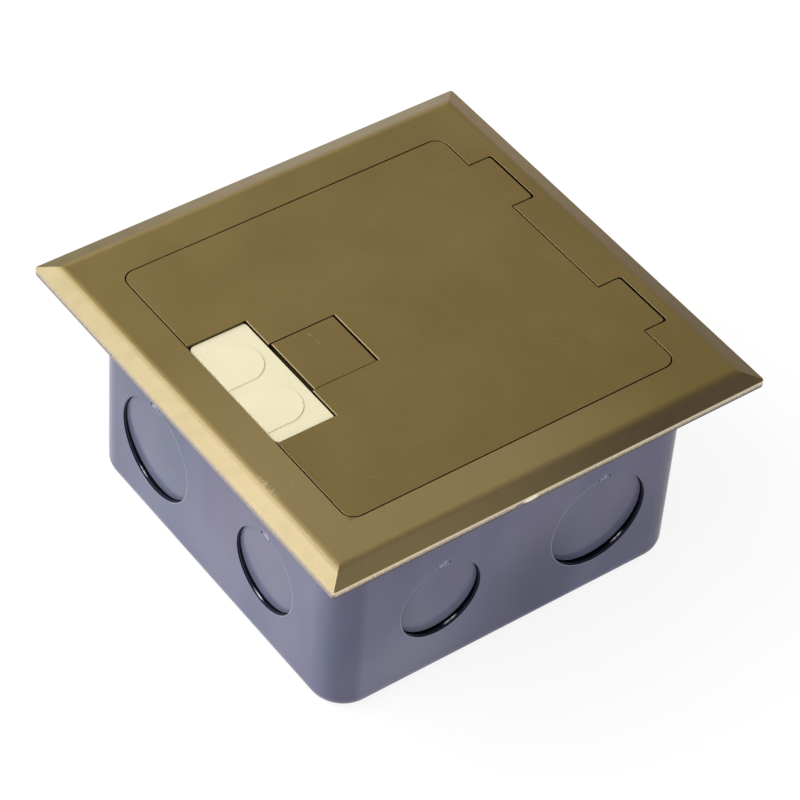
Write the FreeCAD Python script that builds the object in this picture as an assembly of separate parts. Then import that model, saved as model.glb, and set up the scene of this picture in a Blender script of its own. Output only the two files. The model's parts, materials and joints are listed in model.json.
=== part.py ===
"""Floor socket box: drawn steel back box, brass floor frame and hinged lid over a tray of socket modules.

Millimetres, +Z up. The origin is at the middle of the back box's base. The hinge side is +Y, the cable
outlet side is -Y. All sizes follow from the values in the first section.
"""
import FreeCAD, Part
import math
import os

V = FreeCAD.Vector
X_AXIS = V(1, 0, 0)
Y_AXIS = V(0, 1, 0)
Z_AXIS = V(0, 0, 1)
EPS = 0.5                  # how far a cutting tool runs past the face it opens
PAN_PROFILE = ((1.0, 0.55), (0.8, 0.9), (0.45, 1.0))    # pan head: shares of its radius and its height
CROSS_WIDTH_RATIO = 0.24   # cross recess: shares of the head's radius and height
CROSS_LENGTH_RATIO = 1.2
CROSS_DEPTH_RATIO = 0.5

# ---------------------------------------------------------------- driving dimensions
FRAME_SIDE = 120.0         # the size of the whole: what follows from it stands in by a named margin

# back box
BOX_INSET = 10.0           # box inside the frame's edge
BOX_HEIGHT = 55.0
BOX_WALL = 1.2
BOX_CORNER_R = 9.0
BOX_BASE_R = 4.0
KO_SMALL_R = 11.1          # conduit knockouts: two sizes on each wall
KO_LARGE_R = 13.5
KO_SMALL_MARGIN = 8.5      # flat wall left between each and the corner's bend
KO_LARGE_MARGIN = 3.7
KO_Z = 24.6
KO_PUSH = 0.95             # how far the struck disc stands back from the wall's face
KO_PUSH_SIDE = 1.35        # the same in the X walls, which are struck second and harder
KO_TILT = 2.2              # degrees: the disc hangs from its web, so its foot is deeper
KO_CLEAR = 0.12            # sheared gap all round the disc
KO_WEB = 2.6               # uncut bridge above each disc: width, reach above and below the edge
KO_WEB_ABOVE = 1.0
KO_WEB_BELOW = 1.5
KO_WEB_SKIN = 0.5
KO_SLOT = 0.6
KO_SLOT_REACH = 0.7
BASE_HOLE_R = 2.25
BASE_HOLE_SPACING = 60.0
LUG_WIDTH = 12.0
LUG_THICK = 2.0
LUG_DROP = 3.0             # lug's seat below the rim of the box
LUG_LEG = 12.0
LUG_NECK_R = 3.2
LUG_NECK = 3.0
EARTH_INSET = 16.0
EARTH_BOSS_R = 4.0
EARTH_BOSS_H = 4.0
EARTH_WASHER = 1.0
EARTH_WASHER_R = 0.8
EARTH_BITE = 3.0

# brass frame and lid
FRAME_CORNER_R = 1.0
RIM = 1.8                  # upright edge of the frame
BEVEL_RUN = 4.5
BEVEL_DROP = 1.6
EDGE_BLEND = 6.0           # radius that softens the bevel's upper edge, and its lower edge
RIM_BLEND = 0.3
EDGE_BREAK = 0.15          # chamfer on the edges of the notch, the tab's slot and the tab
EDGE_FINE = 0.05           # chamfer on the edges around the lid
LID_INSET = 14.45
LID_THICK = 2.2
LID_CORNER_R = 3.2
LID_GAP = 0.32
EAR_INSET = 20.45          # middle of each hinge ear inside the lid's side
EAR_WIDTH = 16.8
EAR_REACH = 6.2            # beyond the lid's edge
EAR_CORNER_R = 0.9
EAR_END_GAP = 0.6
HINGE_BACK = 1.7           # hinge axis from the ear's end
HINGE_DROP = 1.5           # hinge axis below the top face
HINGE_PIN_R = 1.0
HINGE_PIN_GRIP = 3.0       # length of pin held in the frame each side of an ear
PIN_RUN = 0.05             # running clearance on every hinge pin, on the radius
PIN_SEAT = 0.02

# cable outlet and lift tab
NOTCH_WIDTH = 36.0
NOTCH_DEPTH = 15.9
OUTLET_SINK = 0.6          # outlet plate below the lid's top face
OUTLET_GAP = 0.2
OUTLET_REAR_GAP = 0.3
OUTLET_FLANGE = 1.3
OUTLET_MARGIN = 4.0
OUTLET_CORNER_R = 1.8
OUTLET_REAR_R = 0.8
DEE_WIDTH = 12.6           # break-out cable gates
DEE_LENGTH = 12.6
DEE_PITCH = 15.5
DEE_RISE = 0.25
DEE_EDGE = 0.15            # chamfer round each gate's top
TAB_WIDTH = 17.0
TAB_LENGTH = 17.6
TAB_THICK = 2.1
TAB_GAP = 0.27
TAB_SIDE = 0.08            # tab's rest place to one side of its slot
TAB_REAR_GAP = 0.1
TAB_SETBACK = 0.55         # free edge behind the notch's edge
TAB_PIN_R = 0.6
TAB_PIN_GRIP = 2.0
TAB_PIN_PAD = 1.4          # pad under each end of the pin
TAB_EDGE = 0.4             # thickness of the free edge, undercut by the lip for a fingernail
TAB_LIP = 1.5
OUTLET_SCREW_R = 0.95
OUTLET_SCREW_BITE = 1.5
EAR_POCKET = 0.8           # relief in the tray's flange under each ear

# tray
FLANGE_INSET = 7.0
FLANGE_THICK = 2.3
FLANGE_CORNER_R = 4.0
WELL_SIDE_LEDGE = 9.95     # ledge between the lid's edge and the well
WELL_END_LEDGE = 3.55
WELL_R = 4.0
WELL_WALL = 1.8
TRAY_FLOOR_Z = 34.5
TRAY_FLOOR = 2.2
FIX_INSET = 8.25           # fixing screws inside the box's outer face
FIX_BOSS_R = 4.5
FIX_HEAD_R = 3.5
FIX_HEAD_H = 2.4
FIX_HEAD_SINK = 2.9
FIX_SHANK_R = 1.95
FIX_LENGTH = 10.0
FIX_HEAD_CLEAR = 0.4
THREAD_FIT = 0.05
CORNER_INSET = 3.2         # frame screws inside the flange's edge
CORNER_SHANK_R = 1.45
CORNER_HEAD_R = 2.7
CORNER_DEPTH = 2.2         # thread engagement in the frame
GUSSET = 1.5
GUSSET_X = 22.0
GUSSET_SLOPE = 3.0
GUSSET_CLEAR = 1.0
SEAL_WIDTH = 1.6
SEAL_INSET = 0.35
SEAL_GAP = 0.1
PAD_INSET = 0.6            # floor gasket inside the frame's rim
PAD_THICK = 0.7            # depth of its seat, and how far it stands below the rim
PAD_PROUD = 0.35
PAD_RIDGE = 0.3             # frame's ridge between the pad and the flange
PAD_PLAY = 0.1

# modules
MODULE_X = 44.8
MODULE_LIP = 48.0
POWER_Y = 44.8
DATA_Y = 22.3
MODULE_GAP = 0.2
MODULE_FIT = 0.2
MODULE_LIP_R = 1.0
MODULE_EDGE_R = 0.5
MODULE_CORNER_R = 0.6
MODULE_INNER_R = 0.3
MODULE_PLATE = 1.6
MODULE_WALL = 1.5
MODULE_DEPTH = 22.0        # below the tray floor's top face
MODULE_SPLIT = 11.0
SNAP_RISE = 0.6
SNAP_LENGTH = 8.0
SNAP_SLOPE = 3.0
PIN_SLOT = 2.2             # slot for a flat pin: width, length
PIN_SLOT_LENGTH = 7.2
PIN_SLOT_R = 0.4
TWO_PIN_X = 6.35
TWO_PIN_Y = 11.5
LN_PIN_X = 7.9
LN_PIN_Y = -11.5
LN_PIN_ANGLE = 30.0
EARTH_PIN_Y = -1.6
DECK_POST = 3.0
DECK_PLAY = 0.1
SHUTTER = 1.4
SHUTTER_GAP = 0.25
SHUTTER_LAND = 1.6
SHUTTER_FRONT = 0.2        # three-pin shutter past its slots: front, back, sides
SHUTTER_BACK = 1.1
SHUTTER_SIDE = 1.0
EARTH_SIDE = 1.5           # its gap for the earth pin: beside and in front of the slot
EARTH_FRONT = 1.2
TWO_PIN_TRAVEL = 3.0
THREE_PIN_TRAVEL = 4.8
SPRING_WIRE_R = 0.18
SPRING_R = 0.62
SPRING_TURNS = 7
SPRING_SPACE = 6.0
STOP_THICK = 1.2
ARM_REACH = 6.5
ARM_WIDTH = 2.0
CLIP_LEAF = 0.5
CLIP_GAP = 1.3
CLIP_WIDTH = 5.0
CLIP_LENGTH = 7.0
STRIP = 0.8
STRIP_WIDTH = 3.0
STRIP_DROP = 0.3           # underside of the strips below the housing's split
STRIP_OUTSIDE = 1.0        # strip beyond the slanted pin's middle
TERMINAL_X = 7.0
TERMINAL_Y = 7.0
TERMINAL_Z = 7.0
WIRE_HEIGHT = 4.2          # wire hole above the terminal's foot
TERMINAL_OFFSET = 16.0
EARTH_TERMINAL = 16.8
SCREW_HEAD_R = 1.9
WIRE_HOLE_R = 1.6
TERMINAL_SCREW_R = 1.5
SCREW_SINK = 0.2
SCREW_SLOT = 0.6
SCREW_SLOT_DEPTH = 0.8
LEDGE_HALF = 1.0
ACCESS_CLEAR = 0.2
PORT_X = 11.9
PORT_Y = 7.6
PORT_DEPTH = 13.0
LATCH_X = 4.2
LATCH_Y = 1.9
LATCH_DEPTH = 9.1
JACK_WALL = 1.4
JACK_WIRE = 0.4
JACK_WIRE_PITCH = 1.02
JACK_WIRES = 8
JACK_WIRE_TOP = 3.25       # bend of the wires below the face, their lean and the height it takes
JACK_WIRE_LEAN = 2.0
JACK_WIRE_RISE = 1.5
JACK_WIRE_OFF = 0.2
JACK_FLOOR = 3.0
IDC_X = 14.0
IDC_Y = 15.0
IDC_Z = 6.0
IDC_SLOT = 0.8
IDC_SLOTS = 4              # along each side
IDC_SLOT_LENGTH = 2.5
IDC_ROOF = 1.5

# ---------------------------------------------------------------- levels and places that follow
BOX_SIDE = FRAME_SIDE - 2 * BOX_INSET
FLANGE_SIDE = FRAME_SIDE - 2 * FLANGE_INSET
LID_SIDE = FRAME_SIDE - 2 * LID_INSET
WELL_X = LID_SIDE - 2 * WELL_SIDE_LEDGE
WELL_Y = LID_SIDE - 2 * WELL_END_LEDGE
KO_FLAT = BOX_SIDE / 2 - BOX_CORNER_R          # half the flat width of a wall
KO_SMALL_U = KO_FLAT - KO_SMALL_MARGIN - KO_SMALL_R
KO_LARGE_U = KO_FLAT - KO_LARGE_MARGIN - KO_LARGE_R
EARTH_X = BOX_SIDE / 2 - EARTH_INSET
FIX_X = BOX_SIDE / 2 - FIX_INSET
CORNER_SCREW = FLANGE_SIDE / 2 - CORNER_INSET
FLANGE_Z = BOX_HEIGHT                          # underside of the flange, on the box's edge
RIM_Z = FLANGE_Z + FLANGE_THICK                # underside of the frame, on the tray flange
TOP_Z = RIM_Z + RIM + BEVEL_DROP
LID_Z = TOP_Z - LID_THICK
OPENING_SIDE = LID_SIDE + 2 * LID_GAP
LID_HALF = LID_SIDE / 2
EAR_X = LID_HALF - EAR_INSET
EAR_END = LID_HALF + EAR_REACH
EAR_OPENING_END = EAR_END + EAR_END_GAP
HINGE_Y = EAR_END - HINGE_BACK
HINGE_Z = TOP_Z - HINGE_DROP
TAB_PIN_Z = TOP_Z - TAB_THICK / 2
NOTCH_Y = -LID_HALF + NOTCH_DEPTH
TAB_FREE_Y = NOTCH_Y + TAB_SETBACK
TAB_FAR_Y = TAB_FREE_Y + TAB_LENGTH
TAB_PIN_Y = TAB_FAR_Y - TAB_THICK / 2
LUG_Z = BOX_HEIGHT - LUG_DROP
MODULE_TOP = TRAY_FLOOR_Z + MODULE_PLATE
ROW_Y = POWER_Y + MODULE_GAP + DATA_Y
POWER_C = ROW_Y / 2 - POWER_Y / 2
DATA_C = -ROW_Y / 2 + DATA_Y / 2
SPLIT_Z = TRAY_FLOOR_Z - MODULE_SPLIT
MODULE_BASE = TRAY_FLOOR_Z - MODULE_DEPTH
SHUTTER_TOP = MODULE_TOP - MODULE_PLATE - SHUTTER_GAP
SHUTTER_Z = SHUTTER_TOP - SHUTTER
STRIP_Z = SPLIT_Z - STRIP_DROP
WIRE_Z = STRIP_Z - TERMINAL_Z + WIRE_HEIGHT


# ---------------------------------------------------------------- shape helpers
def outline(width, depth, radius, x=0.0, y=0.0, z=0.0):
    """Wire of a rectangle with four round corners, centred on (x, y)."""
    hx, hy = width / 2, depth / 2
    bend = radius * (1 - math.sqrt(0.5))
    edges = []
    corners = [(1, -1), (1, 1), (-1, 1), (-1, -1)]
    arcs = []
    for sx, sy in corners:
        along_x = V(x + sx * (hx - radius), y + sy * hy, z)
        along_y = V(x + sx * hx, y + sy * (hy - radius), z)
        mid = V(x + sx * (hx - bend), y + sy * (hy - bend), z)
        arcs.append((along_x, mid, along_y) if sx * sy < 0 else (along_y, mid, along_x))
    for n, (start, mid, end) in enumerate(arcs):
        edges.append(Part.Arc(start, mid, end).toShape())
        following = arcs[(n + 1) % 4][0]
        if end.distanceToPoint(following) > 1e-6:
            edges.append(Part.makeLine(end, following))
    return Part.Wire(edges)


def slab(width, depth, radius, z0, z1, x=0.0, y=0.0):
    """Upright prism on a round-cornered rectangle."""
    return Part.Face(outline(width, depth, radius, x, y, z0)).extrude(V(0, 0, z1 - z0))


def block(x0, x1, y0, y1, z0, z1):
    """Box between two corners."""
    return Part.makeBox(x1 - x0, y1 - y0, z1 - z0, V(x0, y0, z0))


def post(radius, z0, z1, x=0.0, y=0.0):
    """Upright cylinder."""
    return Part.makeCylinder(radius, z1 - z0, V(x, y, z0), Z_AXIS)


def bar_x(radius, x0, x1, y, z):
    """Cylinder along X."""
    return Part.makeCylinder(radius, x1 - x0, V(x0, y, z), X_AXIS)


def prism(points, direction):
    """Straight-sided face through the points, swept along a direction."""
    return Part.Face(Part.makePolygon(points + [points[0]])).extrude(direction)


def turned(profile, x=0.0, y=0.0):
    """Solid of revolution about a vertical axis from (radius, z) pairs."""
    points = [V(r, 0, z) for r, z in profile]
    solid = Part.Face(Part.makePolygon(points + [points[0]])).revolve(V(0, 0, 0), Z_AXIS, 360)
    solid.translate(V(x, y, 0))
    return solid


def joined(shapes):
    """One solid from overlapping or touching solids."""
    first, rest = shapes[0], shapes[1:]
    return first.fuse(rest).removeSplitter() if rest else first


def without(shape, tools):
    """The shape less every tool."""
    return shape.cut(tools).removeSplitter()


def group(shapes):
    """Separate solids kept together in one node."""
    return Part.makeCompound(shapes)


def spun(shape, degrees, x=0.0, y=0.0):
    """Copy turned about a vertical axis through (x, y)."""
    copy = shape.copy()
    copy.rotate(V(x, y, 0), Z_AXIS, degrees)
    return copy


def corners(half_x, half_y):
    """The four corners of a rectangle about the middle."""
    return [(sx * half_x, sy * half_y) for sx in (-1, 1) for sy in (-1, 1)]


def edges_at(shape, z):
    """Edges that lie in the horizontal plane at z."""
    return [e for e in shape.Edges if abs(e.BoundBox.ZMin - z) < 1e-4 and abs(e.BoundBox.ZMax - z) < 1e-4]


def pan_head(radius, height, z, x, y):
    """Low domed screw head standing on z, with a cross recess."""
    sides = [(radius * across, z + height * up) for across, up in PAN_PROFILE]
    dome = turned([(0, z), (radius, z)] + sides + [(0, z + height)], x, y)
    return without(dome, cross_recess(radius, x, y, z + height * (1 - CROSS_DEPTH_RATIO), z + height + EPS))


def cross_recess(radius, x, y, z0, z1):
    """Cutters for the cross in a screw head."""
    half, arm = radius * CROSS_WIDTH_RATIO / 2, radius * CROSS_LENGTH_RATIO / 2
    return [block(x - arm, x + arm, y - half, y + half, z0, z1),
            block(x - half, x + half, y - arm, y + arm, z0, z1)]


# ---------------------------------------------------------------- back box
def knockout(radius, u, push):
    """Hole, struck disc and relief slots of one knockout, drawn in the -Y wall."""
    face = -BOX_SIDE / 2
    hole = Part.makeCylinder(radius, BOX_WALL + 2 * EPS, V(u, face - EPS, KO_Z), Y_AXIS)
    disc = Part.makeCylinder(radius - KO_CLEAR, BOX_WALL, V(u, face + push, KO_Z), Y_AXIS)
    disc.rotate(V(u, face + push, KO_Z), X_AXIS, KO_TILT)
    crown = KO_Z + radius
    head = push - radius * math.sin(math.radians(KO_TILT))
    half = KO_WEB / 2
    above, below = crown + KO_WEB_ABOVE, crown - KO_WEB_BELOW
    sketch = [(KO_WEB_SKIN, above), (BOX_WALL, above), (head + BOX_WALL, below), (head + KO_WEB_SKIN, below)]
    web = prism([V(u - half, face + d, z) for d, z in sketch], V(KO_WEB, 0, 0))
    slots = [block(x, x + KO_SLOT, face - EPS, face + push + BOX_WALL, crown - KO_SLOT_REACH,
                   crown + KO_SLOT_REACH) for x in (u - half - KO_SLOT, u + half)]
    return hole, [disc, web], slots


def wall_knockouts():
    """All knockouts: like sizes meet at each vertical corner of the box."""
    holes, discs, slots = [], [], []
    for turn, side in ((0, 1), (90, -1), (180, 1), (270, -1)):
        push = KO_PUSH if side == 1 else KO_PUSH_SIDE
        for radius, u in ((KO_SMALL_R, side * KO_SMALL_U), (KO_LARGE_R, -side * KO_LARGE_U)):
            hole, disc, slot = knockout(radius, u, push)
            holes.append(spun(hole, turn))
            discs += [spun(d, turn) for d in disc]
            slots += [spun(s, turn) for s in slot]
    return holes, discs, slots


def back_box():
    """Deep-drawn cup with struck knockouts, base fixing holes and a welded earth boss."""
    outer = slab(BOX_SIDE, BOX_SIDE, BOX_CORNER_R, 0, BOX_HEIGHT)
    outer = outer.makeFillet(BOX_BASE_R, edges_at(outer, 0))
    inside = BOX_SIDE - 2 * BOX_WALL
    inner = slab(inside, inside, BOX_CORNER_R - BOX_WALL, BOX_WALL, BOX_HEIGHT + EPS)
    inner = inner.makeFillet(BOX_BASE_R - BOX_WALL, edges_at(inner, BOX_WALL))
    holes, discs, slots = wall_knockouts()
    half = BASE_HOLE_SPACING / 2
    base_holes = [post(BASE_HOLE_R, -EPS, BOX_WALL + EPS, x, y) for x, y in corners(half, half)]
    shell = without(outer, [inner] + holes + base_holes)
    shell = without(joined([shell] + discs), slots)
    boss = post(EARTH_BOSS_R, BOX_WALL, BOX_WALL + EARTH_BOSS_H, EARTH_X, 0)
    thread = post(FIX_SHANK_R + THREAD_FIT, BOX_WALL + EPS, BOX_WALL + EARTH_BOSS_H + EPS, EARTH_X, 0)
    return without(joined([shell, boss]), [thread])


def fixing_lugs():
    """Two L-shaped steel lugs welded inside the box, each with an extruded thread."""
    wall = BOX_SIDE / 2 - BOX_WALL
    tip = FIX_X - LUG_NECK_R
    half = LUG_WIDTH / 2
    sketch = [(tip, LUG_Z), (wall, LUG_Z), (wall, LUG_Z - LUG_LEG), (wall - LUG_THICK, LUG_Z - LUG_LEG),
              (wall - LUG_THICK, LUG_Z - LUG_THICK), (tip, LUG_Z - LUG_THICK)]
    angle = prism([V(x, -half, z) for x, z in sketch], V(0, LUG_WIDTH, 0))
    neck = post(LUG_NECK_R, LUG_Z - LUG_THICK - LUG_NECK, LUG_Z - LUG_THICK, FIX_X, 0)
    thread = post(FIX_SHANK_R + THREAD_FIT, LUG_Z - LUG_THICK - LUG_NECK - EPS, LUG_Z + EPS, FIX_X, 0)
    lug = without(joined([angle, neck]), [thread])
    return group([lug, spun(lug, 180)])


def earth_screw():
    """Earthing screw and its square clamp washer on the boss in the box's base."""
    seat = BOX_WALL + EARTH_BOSS_H
    top = seat + EARTH_WASHER
    washer = slab(2 * EARTH_BOSS_R, 2 * EARTH_BOSS_R, EARTH_WASHER_R, seat, top, EARTH_X, 0)
    washer = without(washer, [post(FIX_SHANK_R + THREAD_FIT, seat - EPS, top + EPS, EARTH_X, 0)])
    head = pan_head(FIX_HEAD_R, FIX_HEAD_H, top, EARTH_X, 0)
    shank = post(FIX_SHANK_R, seat - EARTH_BITE, top, EARTH_X, 0)
    return group([washer, joined([head, shank])])


# ---------------------------------------------------------------- frame, lid and hinge
def lid_plan(side, corner_r, ear_width, ear_end, z0, z1):
    """Prism of the lid's outline: a square with two hinge ears at the back."""
    reach = ear_end - side / 2 + LID_CORNER_R + EAR_CORNER_R
    plate = slab(side, side, corner_r, z0, z1)
    ears = [slab(ear_width, reach, EAR_CORNER_R, z0, z1, sx * EAR_X, ear_end - reach / 2) for sx in (-1, 1)]
    return joined([plate] + ears)


def bevelled_plate():
    """Square plate with mitred bevels that turn softly into its flat top, and the flat's half side."""
    half, edge_z = FRAME_SIDE / 2, RIM_Z + RIM
    slope = math.atan2(BEVEL_DROP, BEVEL_RUN)
    reach = EDGE_BLEND * math.tan(slope / 2)
    flat = half - BEVEL_RUN - reach
    bend = (flat + EDGE_BLEND * math.sin(slope / 2), TOP_Z - EDGE_BLEND * (1 - math.cos(slope / 2)))
    foot = (half - BEVEL_RUN + reach * math.cos(slope), TOP_Z - reach * math.sin(slope))

    def at(y, z):
        return V(-half, y, z)

    section = Part.Wire([
        Part.makeLine(at(-half, RIM_Z), at(half, RIM_Z)),
        Part.makeLine(at(half, RIM_Z), at(half, edge_z)),
        Part.makeLine(at(half, edge_z), at(*foot)),
        Part.Arc(at(*foot), at(*bend), at(flat, TOP_Z)).toShape(),
        Part.makeLine(at(flat, TOP_Z), at(-flat, TOP_Z)),
        Part.Arc(at(-flat, TOP_Z), at(-bend[0], bend[1]), at(-foot[0], foot[1])).toShape(),
        Part.makeLine(at(-foot[0], foot[1]), at(-half, edge_z)),
        Part.makeLine(at(-half, edge_z), at(-half, RIM_Z))])
    bar = Part.Face(section).extrude(V(FRAME_SIDE, 0, 0))
    plan = slab(FRAME_SIDE, FRAME_SIDE, FRAME_CORNER_R, RIM_Z, TOP_Z)
    plate = bar.common(spun(bar, 90)).common(plan)
    return plate.makeFillet(RIM_BLEND, [e for e in edges_at(plate, edge_z) if e.Length > half]), flat


def floor_frame():
    """Bevelled brass frame, opened for the lid and its ears, with grooves for the hinge pins beneath."""
    plate, flat = bevelled_plate()
    opening = lid_plan(OPENING_SIDE, LID_CORNER_R + LID_GAP, EAR_WIDTH + 2 * LID_GAP, EAR_OPENING_END,
                       RIM_Z - EPS, TOP_Z + EPS)
    frame = without(plate, [opening])
    limit = flat - EPS
    inner_edges = [e for e in edges_at(frame, TOP_Z) if e.BoundBox.XMax < limit and e.BoundBox.XMin > -limit
                   and e.BoundBox.YMax < limit and e.BoundBox.YMin > -limit]
    frame = frame.makeChamfer(EDGE_FINE, inner_edges)
    pad = pad_ring(0.0, RIM_Z - EPS)
    grooves = []
    for x0, x1 in pin_spans():
        groove_r = HINGE_PIN_R + PIN_SEAT
        grooves.append(bar_x(groove_r, x0, x1, HINGE_Y, HINGE_Z))
        grooves.append(block(x0, x1, HINGE_Y - groove_r, HINGE_Y + groove_r, RIM_Z - EPS, HINGE_Z))
    threads = [post(CORNER_SHANK_R + THREAD_FIT, RIM_Z - EPS, RIM_Z + CORNER_DEPTH + PIN_SEAT, x, y)
               for x, y in corners(CORNER_SCREW, CORNER_SCREW)]
    return without(frame, [pad] + grooves + threads)


def pin_spans():
    """X range of the two hinge pins, each gripped by the frame on both sides of its ear."""
    half = EAR_WIDTH / 2 + LID_GAP + HINGE_PIN_GRIP
    return [(sx * EAR_X - half, sx * EAR_X + half) for sx in (-1, 1)]


def hinge_pins():
    """Two steel pins, dropped into the frame's grooves from below."""
    return group([bar_x(HINGE_PIN_R, x0 + PIN_SEAT, x1 - PIN_SEAT, HINGE_Y, HINGE_Z)
                  for x0, x1 in pin_spans()])


def pad_ring(play, low):
    """Ring-shaped space, or pad, under the frame's rim outside the tray flange."""
    outside = FRAME_SIDE - 2 * PAD_INSET - 2 * play
    inside = FLANGE_SIDE + 2 * PAD_RIDGE + 2 * play
    ring = slab(outside, outside, FRAME_CORNER_R, low, RIM_Z + PAD_THICK)
    return without(ring, [slab(inside, inside, FLANGE_CORNER_R, low - EPS, RIM_Z + PAD_THICK + EPS)])


def floor_gasket():
    """Foam ring that seals the frame to the floor finish."""
    return pad_ring(PAD_PLAY, RIM_Z - PAD_PROUD)


def lid():
    """Brass lid: two ears with hinge knuckles, an open notch for the outlet and a slot for the tab."""
    plate = lid_plan(LID_SIDE, LID_CORNER_R, EAR_WIDTH, EAR_END, LID_Z, TOP_Z)
    plate = plate.makeChamfer(EDGE_FINE, edges_at(plate, TOP_Z))
    slot_half = TAB_WIDTH / 2 + TAB_GAP
    cuts = [block(-NOTCH_WIDTH / 2, NOTCH_WIDTH / 2, -LID_HALF - EPS, NOTCH_Y, LID_Z - EPS, TOP_Z + EPS),
            block(-slot_half, slot_half, NOTCH_Y - EPS, TAB_FAR_Y + TAB_REAR_GAP, LID_Z - EPS,
                  TOP_Z + EPS)]
    plate = without(plate, cuts)
    rear_edges = [e for e in edges_at(plate, TOP_Z) if e.BoundBox.YLength < EPS and e.BoundBox.YMax < 0
                  and e.BoundBox.YMin > NOTCH_Y - EPS]
    plate = plate.makeChamfer(EDGE_BREAK, rear_edges)
    ear_half = EAR_WIDTH / 2
    knuckles = [bar_x(HINGE_DROP, sx * EAR_X - ear_half, sx * EAR_X + ear_half, HINGE_Y, HINGE_Z)
                for sx in (-1, 1)]
    bores = [bar_x(HINGE_PIN_R + PIN_RUN, sx * EAR_X - ear_half - EPS, sx * EAR_X + ear_half + EPS,
                   HINGE_Y, HINGE_Z) for sx in (-1, 1)]
    threads = [post(OUTLET_SCREW_R + THREAD_FIT, LID_Z - EPS, LID_Z + OUTLET_SCREW_BITE, x, y)
               for x, y in outlet_screw_places()]
    body = joined([plate] + [trimmed_knuckle(k) for k in knuckles])
    return without(body, bores + tab_pin_grooves() + threads)


def trimmed_knuckle(knuckle):
    """Knuckle kept inside the ear's rounded outline."""
    plan = lid_plan(LID_SIDE, LID_CORNER_R, EAR_WIDTH, EAR_END, HINGE_Z - HINGE_DROP - EPS, TOP_Z)
    return knuckle.common(plan)


def tab_pin_grooves():
    """Grooves in the lid's underside that hold the ends of the tab's pin."""
    grip = TAB_PIN_R + PIN_SEAT
    start, end = TAB_WIDTH / 2 + TAB_GAP - EPS, TAB_WIDTH / 2 + TAB_GAP + TAB_PIN_GRIP
    tools = []
    for x0, x1 in ((start, end), (-end, -start)):
        tools.append(bar_x(grip, x0, x1, TAB_PIN_Y, TAB_PIN_Z))
        tools.append(block(x0, x1, TAB_PIN_Y - grip, TAB_PIN_Y + grip, LID_Z - EPS, TAB_PIN_Z))
    return tools


def tab_pin():
    """Steel pin of the lift tab."""
    half = TAB_WIDTH / 2 + TAB_GAP + TAB_PIN_GRIP - PIN_SEAT
    return bar_x(TAB_PIN_R, -half, half, TAB_PIN_Y, TAB_PIN_Z)


def lift_tab():
    """Square brass flap with a round hinged edge and an undercut free edge."""
    half, r = TAB_WIDTH / 2, TAB_THICK / 2
    low = TAB_PIN_Z - r
    sketch = [(TAB_PIN_Y, TOP_Z), (TAB_FREE_Y + EDGE_BREAK, TOP_Z), (TAB_FREE_Y, TOP_Z - EDGE_BREAK),
              (TAB_FREE_Y, TOP_Z - TAB_EDGE),
              (TAB_FREE_Y + TAB_LIP, low), (TAB_PIN_Y, low)]
    plate = prism([V(-half, y, z) for y, z in sketch], V(TAB_WIDTH, 0, 0))
    knuckle = bar_x(r, -half, half, TAB_PIN_Y, TAB_PIN_Z)
    bore = bar_x(TAB_PIN_R + PIN_RUN, -half - EPS, half + EPS, TAB_PIN_Y, TAB_PIN_Z)
    tab = without(joined([plate, knuckle]), [bore])
    tab.translate(V(TAB_SIDE, 0, 0))
    return tab


def dee(x, z0, z1):
    """Round-headed cable gate that opens towards the frame."""
    r = DEE_WIDTH / 2
    front = -LID_HALF + LID_GAP
    head = front + DEE_LENGTH - r
    path = Part.Wire([Part.makeLine(V(x - r, front, z0), V(x + r, front, z0)),
                      Part.makeLine(V(x + r, front, z0), V(x + r, head, z0)),
                      Part.Arc(V(x + r, head, z0), V(x, head + r, z0), V(x - r, head, z0)).toShape(),
                      Part.makeLine(V(x - r, head, z0), V(x - r, front, z0))])
    gate = Part.Face(path).extrude(V(0, 0, z1 - z0))
    return gate.makeChamfer(DEE_EDGE, edges_at(gate, z1))


def cable_outlet():
    """Moulded plate that fills the lid's notch, with break-out gates and a flange under the lid."""
    top = TOP_Z - OUTLET_SINK
    width = NOTCH_WIDTH - 2 * OUTLET_GAP
    front, rear = -LID_HALF, NOTCH_Y - OUTLET_REAR_GAP
    depth = rear - front
    plate = slab(width, 2 * depth, OUTLET_CORNER_R, LID_Z, top, 0, front + depth)
    plate = plate.common(slab(width, 2 * depth, OUTLET_REAR_R, LID_Z, top, 0, rear - depth))
    gates = [dee(sx * DEE_PITCH / 2, top - EPS, top + DEE_RISE) for sx in (-1, 1)]
    flange_w = NOTCH_WIDTH + 2 * OUTLET_MARGIN
    flange_front = -WELL_Y / 2 + EPS
    flange_rear = TAB_FAR_Y + OUTLET_MARGIN
    flange = slab(flange_w, flange_rear - flange_front, OUTLET_CORNER_R, LID_Z - OUTLET_FLANGE, LID_Z, 0,
                  (flange_front + flange_rear) / 2)
    end = TAB_WIDTH / 2 + TAB_GAP + TAB_PIN_GRIP - PIN_SEAT
    pads = [block(x0, x1, TAB_PIN_Y - TAB_PIN_R, TAB_PIN_Y + TAB_PIN_R, LID_Z - EPS,
                  TAB_PIN_Z - TAB_PIN_R - PIN_SEAT)
            for x0, x1 in ((end - TAB_PIN_PAD, end), (-end, TAB_PIN_PAD - end))]
    body = joined([plate, flange] + gates + pads)
    holes = [post(OUTLET_SCREW_R + THREAD_FIT, LID_Z - OUTLET_FLANGE - EPS, LID_Z + EPS, x, y)
             for x, y in outlet_screw_places()]
    return without(body, holes)


def outlet_screw_places():
    """Four screws that hold the outlet's flange to the lid."""
    x = NOTCH_WIDTH / 2 + OUTLET_MARGIN / 2
    front = NOTCH_Y - NOTCH_DEPTH / 2
    return [(-x, front), (x, front), (-x, TAB_FAR_Y), (x, TAB_FAR_Y)]


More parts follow.
